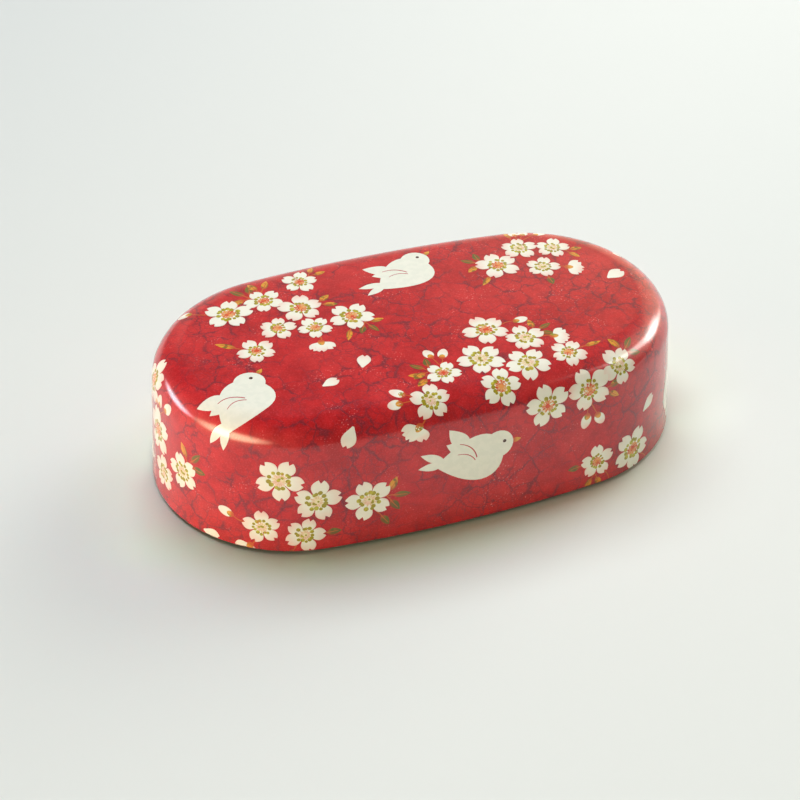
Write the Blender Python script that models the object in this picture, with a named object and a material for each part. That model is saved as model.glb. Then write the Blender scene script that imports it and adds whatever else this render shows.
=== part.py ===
"""Oval single-tier lunch box with a slip-over cover.

An open tub stands on a low foot ring. An inner lid plugs into its mouth and seals there with a
ring of silicone rubber, a divider slides along the tub, and a deep outer cover goes down over all
of it almost to the table. Metres, +Z up. The origin is on the table under the middle of the box,
X runs along its length. Insets are measured inwards from the outer oval of the cover's rim, so
that each ring of each piece is the same oval, moved in by its own inset.
"""

import math

import bmesh
import bpy

# Overall size: plan at the outer cover's rim, and height from the table
LENGTH = 0.182
WIDTH = 0.102
HEIGHT = 0.0475
SIDE_RADIUS = 0.455  # plan radius of the two long, slightly bulged sides

# Gap between two pieces that rest on each other
SEAT_GAP = 0.0003

# Outer cover
COVER_WALL = 0.0018
COVER_DRAFT = 0.089  # lean of the wall, inwards per height
COVER_EDGE_RADIUS = 0.010
COVER_RIM_LIFT = 0.001  # dark gap between the table and the rim
COVER_RIM_ROUNDING = 0.0005

# Tub
TUB_WALL = 0.0018
TUB_DRAFT = 0.04  # lean of the wall, inwards towards the floor
TUB_CORNER_RADIUS = 0.010
TUB_RIM_ROUNDING = 0.0005
FOOT_HEIGHT = 0.001
FOOT_WIDTH = 0.003
FOOT_SETBACK = 0.001  # from the end of the bottom corner's rounding to the foot ring

# Inner lid
LID_COVER_CLEARANCE = 0.0004  # from the flange's edge to the cover's inside
LID_OVERHANG = 0.0006  # how far the flange stands past the tub's wall, for a fingernail
LID_RISE = 0.0049  # from the flange's underside to the bead's top
LID_FLANGE = 0.0015
LID_EDGE_ROUNDING = 0.0004
LID_PLATE = 0.0016
LID_BEAD_WIDTH = 0.003
LID_BEAD_SLOPE = 0.0012  # widening of the bead from its top to its foot, on each side
LID_DISH_DEPTH = 0.0045
LID_SKIRT_DEPTH = 0.0056
LID_SKIRT_WALL = 0.0032
LID_SKIRT_CLEARANCE = 0.001  # from the skirt to the tub's inside, which the seal bridges

# Pull tab of the inner lid
TAB_WIDTH = 0.020
TAB_REACH = 0.012
TAB_THICKNESS = 0.0013
TAB_LIFT = 0.0018  # from the dish to the tab's underside

# Groove in the lid's skirt and the seal in it
GROOVE_DEPTH = 0.0016
GROOVE_HEIGHT = 0.003
GROOVE_LAND = 0.0012  # from the skirt's lower edge to the groove
SEAL_LIP = 0.0006  # height of each of the two sealing lips

# Divider
DIVIDER_X = 0.025
DIVIDER_WALL = 0.0015
DIVIDER_FLANGE_WIDTH = 0.010
DIVIDER_FLANGE = 0.0013
DIVIDER_HEADROOM = 0.0025  # from its top to the lid's skirt

# Fineness of the rings and roundings
END_STEPS = 26
SIDE_STEPS = 10
CORNER_STEPS = 6
SMALL_STEPS = 2

# Plan oval: each end arc meets the side arcs where their tangents agree
SIDE_CENTRE = SIDE_RADIUS - WIDTH / 2
END_CENTRE = (SIDE_CENTRE**2 - (SIDE_RADIUS - LENGTH / 2) ** 2) / (2 * (SIDE_RADIUS - LENGTH / 2))
END_RADIUS = LENGTH / 2 - END_CENTRE
SIDE_HALF_ANGLE = math.atan2(END_CENTRE, SIDE_CENTRE)

# Heights, from the cover's top downwards
COVER_CEILING = HEIGHT - COVER_WALL
BEAD_TOP = COVER_CEILING - SEAT_GAP
FLANGE_BOTTOM = BEAD_TOP - LID_RISE
FLANGE_TOP = FLANGE_BOTTOM + LID_FLANGE
TUB_RIM = FLANGE_BOTTOM - SEAT_GAP
TUB_FLOOR = FOOT_HEIGHT + TUB_WALL
DISH = BEAD_TOP - LID_DISH_DEPTH
SKIRT_BOTTOM = FLANGE_BOTTOM - LID_SKIRT_DEPTH
DIVIDER_TOP = SKIRT_BOTTOM - DIVIDER_HEADROOM


def cover_inset(height, wall, turn):
    """Inset of the cover's surface at a height, wall inside its outside, where its edge's
    rounding has turned through turn."""
    radius = COVER_EDGE_RADIUS - wall
    return wall + COVER_DRAFT * (height - COVER_RIM_LIFT) + radius * (1 - math.cos(turn))


def cover_inside(height):
    """Inset of the cover's inside at a height."""
    radius = COVER_EDGE_RADIUS - COVER_WALL
    above = max(0.0, height - (HEIGHT - COVER_EDGE_RADIUS))
    return cover_inset(height, COVER_WALL, math.asin(min(1.0, above / radius)))


# Insets of what fits inside the cover, from its inside inwards
FLANGE_EDGE = cover_inside(FLANGE_TOP) + LID_COVER_CLEARANCE
TUB_RIM_EDGE = FLANGE_EDGE + LID_OVERHANG
BEAD_OUTSIDE = cover_inside(COVER_CEILING)
BEAD_INSIDE = BEAD_OUTSIDE + LID_BEAD_WIDTH


def tub_outside(height):
    """Inset of the tub's outer wall at a height."""
    return TUB_RIM_EDGE + TUB_DRAFT * (TUB_RIM - height)


def tub_inside(height):
    """Inset of the tub's inner wall at a height."""
    return tub_outside(height) + TUB_WALL


SKIRT_EDGE = tub_inside(SKIRT_BOTTOM) + LID_SKIRT_CLEARANCE
SKIRT_INSIDE = SKIRT_EDGE + LID_SKIRT_WALL
GROOVE_BOTTOM = SKIRT_BOTTOM + GROOVE_LAND
GROOVE_TOP = GROOVE_BOTTOM + GROOVE_HEIGHT


def oval(inset, height):
    """Points of the plan oval moved in by inset, anticlockwise from the +X end."""
    end_half_angle = math.pi / 2 - SIDE_HALF_ANGLE
    arcs = (
        (END_CENTRE, 0.0, END_RADIUS, 0.0, end_half_angle, END_STEPS),
        (0.0, -SIDE_CENTRE, SIDE_RADIUS, math.pi / 2, SIDE_HALF_ANGLE, SIDE_STEPS),
        (-END_CENTRE, 0.0, END_RADIUS, math.pi, end_half_angle, END_STEPS),
        (0.0, SIDE_CENTRE, SIDE_RADIUS, 3 * math.pi / 2, SIDE_HALF_ANGLE, SIDE_STEPS),
    )
    points = []
    for x, y, radius, middle, half_angle, steps in arcs:
        for step in range(steps):
            angle = middle + half_angle * (2 * step / steps - 1)
            across = (radius - inset) * math.cos(angle)
            along = (radius - inset) * math.sin(angle)
            points.append((x + across, y + along, height))
    return points


def rounding(centre_inset, centre_height, radius, start, end, steps=SMALL_STEPS):
    """(inset, height) points of an arc. Angle 0 points outwards, 90 degrees up."""
    points = []
    for step in range(steps + 1):
        angle = math.radians(start + (end - start) * step / steps)
        points.append(
            (centre_inset - radius * math.cos(angle), centre_height + radius * math.sin(angle))
        )
    return points


def material(name, colour, roughness, alpha=1.0):
    """A plain plastic or rubber."""
    made = bpy.data.materials.new(name)
    made.use_nodes = True
    shader = made.node_tree.nodes["Principled BSDF"]
    shader.inputs["Base Color"].default_value = (*colour, 1.0)
    shader.inputs["Roughness"].default_value = roughness
    shader.inputs["Alpha"].default_value = alpha
    made.diffuse_color = (*colour, alpha)
    return made


def add_object(name, bm, made_of, parent=None):
    """The object of a finished shape, shaded smooth up to 35 degrees."""
    bmesh.ops.recalc_face_normals(bm, faces=bm.faces)
    if bm.calc_volume(signed=True) < 0:
        bmesh.ops.reverse_faces(bm, faces=bm.faces)
    mesh = bpy.data.meshes.new(name)
    bm.to_mesh(mesh)
    bm.free()
    mesh.materials.append(made_of)
    mesh.shade_smooth()
    mesh.set_sharp_from_angle(angle=math.radians(35))
    piece = bpy.data.objects.new(name, mesh)
    bpy.context.collection.objects.link(piece)
    piece.parent = parent
    return piece


def loft(profile, closed_ring=False):
    """A shape through the plan oval at each (inset, height) of a profile. It is capped at both
    ends, or joined end to end where it is a closed ring."""
    bm = bmesh.new()
    rings = [[bm.verts.new(point) for point in oval(*place)] for place in profile]
    if closed_ring:
        rings.append(rings[0])
    else:
        bm.faces.new(rings[0])
        bm.faces.new(rings[-1])
    for lower, upper in zip(rings, rings[1:]):
        for i in range(len(lower)):
            bm.faces.new((lower[i - 1], lower[i], upper[i], upper[i - 1]))
    return bm


def cover_edge(wall):
    """(inset, height) points of the cover's rounded top edge, from its wall to its top."""
    radius = COVER_EDGE_RADIUS - wall
    points = []
    for step in range(CORNER_STEPS + 1):
        turn = math.pi / 2 * step / CORNER_STEPS
        height = HEIGHT - COVER_EDGE_RADIUS + radius * math.sin(turn)
        points.append((cover_inset(height, wall, turn), height))
    return points


def outer_cover():
    """Deep cover: flat top, rounded edge, leaning wall and a rim with broken edges."""
    inside, rim, r = COVER_WALL, COVER_RIM_LIFT, COVER_RIM_ROUNDING
    profile = cover_edge(0.0)[::-1]
    profile += rounding(r, rim + r, r, 0, -90)
    profile += rounding(inside - r, rim + r, r, -90, -180)
    profile += cover_edge(inside)
    return loft(profile)


def tub_corner(base, wall):
    """(inset, height) points of the tub's bottom corner from the base at a height up to the
    wall, wall inside its outer face."""
    radius = TUB_CORNER_RADIUS - wall
    points = []
    for step in range(CORNER_STEPS + 1):
        turn = math.pi / 2 * (1 - step / CORNER_STEPS)
        height = base + radius * (1 - math.sin(turn))
        points.append((tub_outside(height) + wall + radius * (1 - math.cos(turn)), height))
    return points


def tub():
    """Open tub on a foot ring, with one wall thickness all round."""
    r = TUB_RIM_ROUNDING
    corner = tub_corner(FOOT_HEIGHT, 0.0)
    foot_out = corner[0][0] + FOOT_SETBACK
    foot_in = foot_out + FOOT_WIDTH
    profile = [(foot_in, FOOT_HEIGHT), (foot_in, 0.0), (foot_out, 0.0), (foot_out, FOOT_HEIGHT)]
    profile += corner
    profile += rounding(TUB_RIM_EDGE + r, TUB_RIM - r, r, 0, 90)
    profile += rounding(TUB_RIM_EDGE + TUB_WALL - r, TUB_RIM - r, r, 90, 180)
    profile += tub_corner(TUB_FLOOR, TUB_WALL)[::-1]
    return loft(profile)


def inner_lid():
    """Plug-in lid: dished plate, raised bead that carries the cover, flange that rests on the
    tub's rim and a skirt with the seal's groove."""
    r = LID_EDGE_ROUNDING
    groove = SKIRT_EDGE + GROOVE_DEPTH
    profile = [
        (SKIRT_INSIDE, DISH - LID_PLATE),
        (SKIRT_INSIDE, SKIRT_BOTTOM),
        (SKIRT_EDGE + r, SKIRT_BOTTOM),
        (SKIRT_EDGE, SKIRT_BOTTOM + r),
        (SKIRT_EDGE, GROOVE_BOTTOM),
        (groove, GROOVE_BOTTOM),
        (groove, GROOVE_TOP),
        (SKIRT_EDGE, GROOVE_TOP),
        (SKIRT_EDGE, FLANGE_BOTTOM),
    ]
    profile += rounding(FLANGE_EDGE + r, FLANGE_BOTTOM + r, r, -90, 0)
    profile += rounding(FLANGE_EDGE + r, FLANGE_TOP - r, r, 0, 90)
    profile.append((BEAD_OUTSIDE - LID_BEAD_SLOPE, FLANGE_TOP))
    profile += rounding(BEAD_OUTSIDE + r, BEAD_TOP - r, r, 45, 90, 1)
    profile += rounding(BEAD_INSIDE - r, BEAD_TOP - r, r, 90, 135, 1)
    profile.append((BEAD_INSIDE + LID_BEAD_SLOPE, DISH))
    return loft(profile)


def pull_tab():
    """Tongue that stands in from the lid's bead above the dish, with a round free end. Its root
    follows the middle of the bead."""
    root_radius = END_RADIUS - BEAD_INSIDE + LID_BEAD_WIDTH / 2
    half_angle = math.asin(TAB_WIDTH / 2 / root_radius)
    outline = []
    for step in range(2 * SMALL_STEPS + 1):
        angle = half_angle * (step / SMALL_STEPS - 1)
        outline.append(
            (END_CENTRE + root_radius * math.cos(angle), root_radius * math.sin(angle))
        )
    straight_end = outline[-1][0] - TAB_REACH + TAB_WIDTH / 4
    for step in range(4 * SMALL_STEPS + 1):
        angle = math.pi * (0.5 + step / (4 * SMALL_STEPS))
        outline.append(
            (straight_end + TAB_WIDTH / 4 * math.cos(angle), TAB_WIDTH / 2 * math.sin(angle))
        )
    bm = bmesh.new()
    height = DISH + TAB_LIFT
    bottom = bm.faces.new([bm.verts.new((x, y, height)) for x, y in outline])
    raised = bmesh.ops.extrude_face_region(bm, geom=[bottom])["geom"]
    moved = [item for item in raised if isinstance(item, bmesh.types.BMVert)]
    bmesh.ops.translate(bm, verts=moved, vec=(0.0, 0.0, TAB_THICKNESS))
    return bm


def seal():
    """Rubber ring in the skirt's groove, with two lips that reach for the tub's wall."""
    low = GROOVE_BOTTOM + SEAT_GAP
    high = GROOVE_TOP - SEAT_GAP
    middle = (low + high) / 2
    back = SKIRT_EDGE + GROOVE_DEPTH - SEAT_GAP
    tip = tub_inside(low) + SEAT_GAP
    root = tip + SEAL_LIP
    profile = [
        (back, low),
        (root, low),
        (tip, (3 * low + middle) / 4),
        (tip, (low + middle) / 2),
        (root, middle),
        (tip, (high + middle) / 2),
        (tip, (3 * high + middle) / 4),
        (root, high),
        (back, high),
    ]
    return loft(profile, closed_ring=True)


def tub_half_width(x, inset):
    """Half the width of the oval moved in by inset, where a side arc crosses x."""
    return math.sqrt((SIDE_RADIUS - inset) ** 2 - x**2) - SIDE_CENTRE


def divider_outline(offset):
    """(y, z) points of one side of the divider, offset clear of the tub's inside, from its
    middle along the floor and up the wall. The side is straight along X, so it is as wide as
    the tub at the end of the flange that is nearer the tub's end."""
    widest_x = DIVIDER_X + DIVIDER_FLANGE_WIDTH / 2
    points = [(0.0, TUB_FLOOR + offset)]
    for inset, height in tub_corner(TUB_FLOOR + offset, TUB_WALL + offset):
        points.append((tub_half_width(widest_x, inset), height))
    points.append((tub_half_width(widest_x, tub_inside(DIVIDER_TOP) + offset), DIVIDER_TOP))
    return points


def divider():
    """Upright web with a flange along the tub's floor and walls, which lets it stand and
    slide."""
    half_web, half_flange = DIVIDER_WALL / 2, DIVIDER_FLANGE_WIDTH / 2
    outer = divider_outline(SEAT_GAP)
    inner = divider_outline(SEAT_GAP + DIVIDER_FLANGE)
    rims = [[(-y, z) for y, z in side[:0:-1]] + side for side in (outer, inner)]
    bm = bmesh.new()

    def line(rim, x):
        return [bm.verts.new((DIVIDER_X + x, y, z)) for y, z in rim]

    lines = [
        line(rims[1], -half_web),
        line(rims[1], -half_flange),
        line(rims[0], -half_flange),
        line(rims[0], half_flange),
        line(rims[1], half_flange),
        line(rims[1], half_web),
    ]
    for first, second in zip(lines, lines[1:]):
        for i in range(len(first) - 1):
            bm.faces.new((first[i], first[i + 1], second[i + 1], second[i]))
    bm.faces.new(lines[0])
    bm.faces.new(lines[-1])
    near_end = [each[0] for each in lines]
    far_end = [each[-1] for each in lines]
    bm.faces.new(near_end + far_end[::-1])
    return bm


def join_by_union(piece, part):
    """Makes a solid part of a piece, by a Boolean modifier that stays on the piece."""
    part.hide_render = True
    part.display_type = "WIRE"
    union = piece.modifiers.new("union_" + part.name, "BOOLEAN")
    union.operation = "UNION"
    union.object = part


def main():
    for old in list(bpy.data.objects):
        bpy.data.objects.remove(old, do_unlink=True)

    lacquer = material("red_gloss_abs", (0.50, 0.02, 0.03), 0.2)
    black = material("black_gloss_abs", (0.012, 0.011, 0.012), 0.25)
    milky = material("milky_polypropylene", (0.80, 0.80, 0.77), 0.4)
    rubber = material("silicone_rubber", (0.70, 0.70, 0.68), 0.5)

    add_object("box_body", tub(), black)
    lid = add_object("inner_lid", inner_lid(), milky)
    join_by_union(lid, add_object("pull_tab_shape", pull_tab(), milky, lid))
    add_object("lid_seal", seal(), rubber, lid)
    add_object("outer_cover", outer_cover(), lacquer)
    add_object("divider", divider(), milky)


main()
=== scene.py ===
"""Looks of a single-tier oval lunch box with a slip-over cover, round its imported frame.

The cover is a fine shell spun round the oval plan, with a crackled red ground under a clear coat
and a print of cherry sprays, loose petals and plovers. The print is modelled flat, wrapped onto
the shell and left at most a tenth of a millimetre proud. The tub, inner lid, seal and divider
under the cover are finished too. Metres, +Z up; the flat motifs of the print are in millimetres.
"""

import math
import random
from math import cos, hypot, pi, radians, sin, tau

import bpy
import numpy as np
from mathutils import Matrix, Vector


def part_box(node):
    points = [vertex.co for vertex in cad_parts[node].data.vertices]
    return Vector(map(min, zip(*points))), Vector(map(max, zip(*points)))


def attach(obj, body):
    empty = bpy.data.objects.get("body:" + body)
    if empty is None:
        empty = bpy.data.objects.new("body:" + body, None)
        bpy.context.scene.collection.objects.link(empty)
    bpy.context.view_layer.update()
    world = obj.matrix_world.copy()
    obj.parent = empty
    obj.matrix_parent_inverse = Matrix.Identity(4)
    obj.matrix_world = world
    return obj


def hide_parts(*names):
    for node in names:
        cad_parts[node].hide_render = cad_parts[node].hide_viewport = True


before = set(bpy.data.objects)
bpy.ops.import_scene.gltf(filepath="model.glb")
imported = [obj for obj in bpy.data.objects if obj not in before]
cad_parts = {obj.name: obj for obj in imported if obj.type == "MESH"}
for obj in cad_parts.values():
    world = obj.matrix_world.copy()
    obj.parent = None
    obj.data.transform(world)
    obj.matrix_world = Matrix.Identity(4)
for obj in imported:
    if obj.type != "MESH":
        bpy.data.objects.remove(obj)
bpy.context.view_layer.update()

MM = 0.001

# Outer cover: box from the frame, radii and walls as the real one is moulded
COVER_LOW, COVER_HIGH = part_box("outer_cover")
LENGTH = COVER_HIGH.x - COVER_LOW.x
WIDTH = COVER_HIGH.y - COVER_LOW.y
RIM = COVER_LOW.z
TOP = COVER_HIGH.z
SIDE_RADIUS = 455 * MM
COVER_WALL = 1.8 * MM
COVER_DRAFT = 0.089
EDGE_RADIUS = 10 * MM
RIM_ROUNDING = 0.5 * MM

# Plan oval: each end arc meets the side arcs where their tangents agree
SIDE_CENTRE = SIDE_RADIUS - WIDTH / 2
END_CENTRE = (SIDE_CENTRE**2 - (SIDE_RADIUS - LENGTH / 2) ** 2) / (2 * (SIDE_RADIUS - LENGTH / 2))
END_RADIUS = LENGTH / 2 - END_CENTRE
SIDE_HALF_ANGLE = math.atan2(END_CENTRE, SIDE_CENTRE)
END_ANGLE = pi - 2 * SIDE_HALF_ANGLE
END_STEPS = 96
SIDE_STEPS = 44

# Tub
TUB_LOW, TUB_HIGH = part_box("box_body")
TUB_RIM = TUB_HIGH.z
TUB_RIM_EDGE = (LENGTH - TUB_HIGH.x + TUB_LOW.x) / 2
TUB_WALL = 1.8 * MM
TUB_DRAFT = 0.04
TUB_CORNER_RADIUS = 10 * MM
TUB_RIM_ROUNDING = 0.5 * MM
FOOT_HEIGHT = 1 * MM
FOOT_WIDTH = 3 * MM
FOOT_SETBACK = 1 * MM
FOOT_ROUNDING = 0.3 * MM

# Inner lid and its seal
LID_LOW, LID_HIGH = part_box("inner_lid")
SEAL_LOW, SEAL_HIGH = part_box("lid_seal")
BEAD_TOP = LID_HIGH.z
LID_GAP = TOP - COVER_WALL - BEAD_TOP
SKIRT_BOTTOM = LID_LOW.z
FLANGE_EDGE = (LENGTH - LID_HIGH.x + LID_LOW.x) / 2
FLANGE_BOTTOM = BEAD_TOP - 4.9 * MM
FLANGE_TOP = FLANGE_BOTTOM + 1.5 * MM
LID_ROUNDING = 0.4 * MM
LID_PLATE = 1.6 * MM
BEAD_WIDTH = 3 * MM
BEAD_SLOPE = 1.2 * MM
DISH = BEAD_TOP - 4.5 * MM
SKIRT_WALL = 3.2 * MM
SKIRT_CLEARANCE = 1 * MM
GROOVE_DEPTH = 1.6 * MM
TAB_WIDTH = 20 * MM
TAB_REACH = 12 * MM
TAB_THICKNESS = 1.3 * MM
TAB_LIFT = 1.8 * MM
SEAL_LIP = 0.6 * MM

# Print: millimetres on the flat motifs, metres for its thickness on the cover
MESH_PITCH = 1.0
WRAP_STEPS = 18
SEED = 7
SHEET_HALF_LENGTH, SHEET_HALF_WIDTH = 128, 88
SHEET_MIDDLE, SHEET_END = 45, 84
LARGE_BLOSSOM, BLOSSOM = (7.4, 9.0), (5.8, 8.2)
PLOVER_ROOM, PETAL_ROOM, TIP_ROOM = 15.5, 9, 5
PRINT_LIFT = 0.022 * MM
LAYER = 0.014 * MM
PRINT_SINK = -0.03 * MM
MERGE = 0.003 * MM
FINE_MERGE = 0.001 * MM

# Photograph: the picture's side in pixels, and the camera that the cover's outline gives
PICTURE = 800
SENSOR = 36.0
FOCAL_PIXELS = 1507.7
AZIMUTH, ELEVATION, ROLL = -0.34671, 0.65812, 0.00290
DISTANCE = 522.1 * MM
AIM_RIGHT, AIM_UP = -5.19 * MM, 9.08 * MM
WINDOW_DISTANCE = 3.0
ROOM_LIGHT = 0.06

# Kinds and settings of the nodes that come up most
NOISE, RANGE, MIX = "ShaderNodeTexNoise", "ShaderNodeMapRange", "ShaderNodeMix"
MATH, VECTOR = "ShaderNodeMath", "ShaderNodeVectorMath"
EASED, COLOURS = {"interpolation_type": "SMOOTHSTEP"}, {"data_type": "RGBA"}
PRODUCT, SUM, DOT = {"operation": "MULTIPLY"}, {"operation": "ADD"}, {"operation": "DOT_PRODUCT"}


# Small helpers


def linear(colour):
    """Linear RGBA of an sRGB hex colour."""
    channels = [int(colour[i : i + 2], 16) / 255 for i in (1, 3, 5)]
    return (*(c / 12.92 if c <= 0.04045 else ((c + 0.055) / 1.055) ** 2.4 for c in channels), 1.0)


def fill(node, inputs):
    """Sets a node's inputs, in order or by name or number, to a value, an sRGB hex colour,
    another node's output, or another node, whose first output it then is."""
    for name, value in inputs.items() if isinstance(inputs, dict) else enumerate(inputs):
        if isinstance(value, bpy.types.Node):
            value = value.outputs[0]
        if isinstance(value, bpy.types.NodeSocket):
            node.id_data.links.new(value, node.inputs[name])
        else:
            node.inputs[name].default_value = linear(value) if isinstance(value, str) else value


def add_node(tree, kind, settings=None, inputs=()):
    """Adds a node with its settings and inputs."""
    node = tree.nodes.new(kind)
    for name, value in (settings or {}).items():
        setattr(node, name, value)
    fill(node, inputs)
    return node


def pick(*pieces):
    """Selects only these objects, in object mode, with the first one active."""
    bpy.ops.object.select_all(action="DESELECT")
    for piece in pieces:
        piece.select_set(True)
    bpy.context.view_layer.objects.active = pieces[0]


def named(name):
    """Names the active object, which an operator has just made."""
    piece = bpy.context.active_object
    piece.name = piece.data.name = name
    return piece


def get_points(piece):
    """The places of a piece's points, one row each."""
    points = np.empty(len(piece.data.vertices) * 3, np.float32)
    piece.data.vertices.foreach_get("co", points)
    return points.reshape(-1, 3).astype(float)


def set_points(piece, points):
    piece.data.vertices.foreach_set("co", np.asarray(points, np.float32).ravel())
    piece.data.update()


def copy_of(piece, name):
    """A copy with a mesh of its own."""
    copied = bpy.data.objects.new(name, piece.data.copy())
    bpy.context.collection.objects.link(copied)
    return copied


def join(pieces, name):
    pick(*pieces)
    if len(pieces) > 1:
        bpy.ops.object.join()
    return named(name)


def apply(piece, kind, **settings):
    """Adds a modifier with its settings to a piece and applies it."""
    pick(piece)
    modifier = piece.modifiers.new("change", kind)
    for name, value in settings.items():
        setattr(modifier, name, value)
    bpy.ops.object.modifier_apply(modifier=modifier.name)


def smooth(piece, degrees=35):
    """Smooth shading with sharp edges kept, and normals that follow the larger faces."""
    pick(piece)
    bpy.ops.object.shade_smooth_by_angle(angle=radians(degrees))
    apply(piece, "WEIGHTED_NORMAL", keep_sharp=True)
    return piece


def dress(piece, material, body, slot, *nodes):
    """Gives a finished piece its material and the body that it rides on; its slot is not used."""
    if material:
        piece.data.materials.clear()
        piece.data.materials.append(material)
    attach(piece, body)
    if nodes:
        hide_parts(*nodes)


# Shells, spun round the oval plan from a section of (inset, height) points


def rounding(inset, height, radius, start, end, steps=4):
    """(inset, height) points of an arc. Angle 0 points outwards, 90 degrees up."""
    angles = [radians(start + (end - start) * step / steps) for step in range(steps + 1)]
    return [(inset - radius * cos(a), height + radius * sin(a)) for a in angles]


def section(*parts):
    """Profile of (inset, height) points, in which a part with more values is a rounding."""
    profile = []
    for part in parts:
        profile += [part] if len(part) == 2 else rounding(*part)
    return profile


def cover_edge(wall, steps):
    """(inset, height) points of the cover's rounded top edge, from its wall to its top."""
    radius = EDGE_RADIUS - wall
    points = []
    for step in range(steps + 1):
        turn = pi / 2 * step / steps
        height = TOP - EDGE_RADIUS + radius * sin(turn)
        inset = wall + COVER_DRAFT * (height - RIM) + radius * (1 - cos(turn))
        points.append((inset, height))
    return points


def spin_oval(name, profile):
    """Spins a profile round the plan's four arcs. A profile whose ends meet gives a closed
    ring, and the ends of an open one are filled."""
    start = SIDE_HALF_ANGLE - pi / 2
    out = Vector((cos(start), sin(start), 0))
    corner = Vector((END_CENTRE, 0, 0))
    points = [corner + out * (END_RADIUS - inset) + Vector((0, 0, z)) for inset, z in profile]
    bpy.ops.object.select_all(action="DESELECT")
    bpy.ops.mesh.primitive_plane_add(size=1)
    piece = named(name)
    bpy.ops.object.mode_set(mode="EDIT")
    bpy.ops.mesh.merge(type="CENTER")
    bpy.ops.transform.translate(value=points[0])
    for point, following in zip(points, points[1:]):
        bpy.ops.mesh.extrude_vertices_move(TRANSFORM_OT_translate={"value": following - point})
    bpy.ops.mesh.select_all(action="SELECT")
    for centre, angle, steps in (
        ((END_CENTRE, 0, 0), END_ANGLE, END_STEPS),
        ((0, -SIDE_CENTRE, 0), 2 * SIDE_HALF_ANGLE, SIDE_STEPS),
        ((-END_CENTRE, 0, 0), END_ANGLE, END_STEPS),
        ((0, SIDE_CENTRE, 0), 2 * SIDE_HALF_ANGLE, SIDE_STEPS),
    ):
        bpy.ops.mesh.spin(steps=steps, angle=angle, center=centre, axis=(0, 0, -1))
    bpy.ops.mesh.select_all(action="SELECT")
    bpy.ops.mesh.remove_doubles(threshold=MERGE)
    bpy.ops.mesh.fill_holes(sides=0)
    bpy.ops.mesh.normals_make_consistent(inside=False)
    bpy.ops.object.mode_set(mode="OBJECT")
    return piece


def inset_caps(piece, thickness):
    """Insets the large flat faces, so that the shading beside their edges stays flat."""
    pick(piece)
    for face in piece.data.polygons:
        face.select = len(face.vertices) > 2 * END_STEPS
    bpy.ops.object.mode_set(mode="EDIT")
    bpy.ops.mesh.select_mode(type="FACE")
    bpy.ops.mesh.inset(thickness=thickness)
    bpy.ops.mesh.select_mode(type="VERT")
    bpy.ops.object.mode_set(mode="OBJECT")
    return piece


def make_cover():
    """Deep cover: flat top, rounded edge, leaning wall and a rim with broken edges."""
    r = RIM_ROUNDING
    wall_steps = 8
    foot, head = (COVER_DRAFT * r, RIM + r), cover_edge(0, 1)[0]
    profile = cover_edge(0, 24)[::-1]
    for step in range(1, wall_steps + 1):
        share = step / wall_steps
        profile.append(tuple(h + (f - h) * share for h, f in zip(head, foot)))
    profile += section(
        (r, RIM + r, r, -5, -90), (COVER_WALL - r, RIM + r, r, -90, -180), *cover_edge(COVER_WALL, 12)
    )
    return smooth(inset_caps(spin_oval("printed_cover", profile), 3 * MM))


def tub_outside(height):
    """Inset of the tub's outer wall at a height."""
    return TUB_RIM_EDGE + TUB_DRAFT * (TUB_RIM - height)


def tub_corner(base, wall, steps=14):
    """(inset, height) points of the tub's bottom corner, from its base up to its wall."""
    radius = TUB_CORNER_RADIUS - wall
    points = []
    for step in range(steps + 1):
        turn = pi / 2 * (1 - step / steps)
        height = base + radius * (1 - sin(turn))
        points.append((tub_outside(height) + wall + radius * (1 - cos(turn)), height))
    return points


def make_tub():
    """Open tub on a foot ring, with one wall thickness all round."""
    r, f = TUB_RIM_ROUNDING, FOOT_ROUNDING
    corner = tub_corner(FOOT_HEIGHT, 0)
    foot_out = corner[0][0] + FOOT_SETBACK
    foot_in = foot_out + FOOT_WIDTH
    profile = section(
        (foot_in, FOOT_HEIGHT),
        (foot_in - f, f, f, 180, 270),
        (foot_out + f, f, f, -90, 0),
        (foot_out, FOOT_HEIGHT),
        *corner,
        (TUB_RIM_EDGE + r, TUB_RIM - r, r, 0, 90),
        (TUB_RIM_EDGE + TUB_WALL - r, TUB_RIM - r, r, 90, 180),
        *tub_corner(FOOT_HEIGHT + TUB_WALL, TUB_WALL)[::-1],
    )
    return smooth(inset_caps(spin_oval("tub_shell", profile), 2 * MM))


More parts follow.
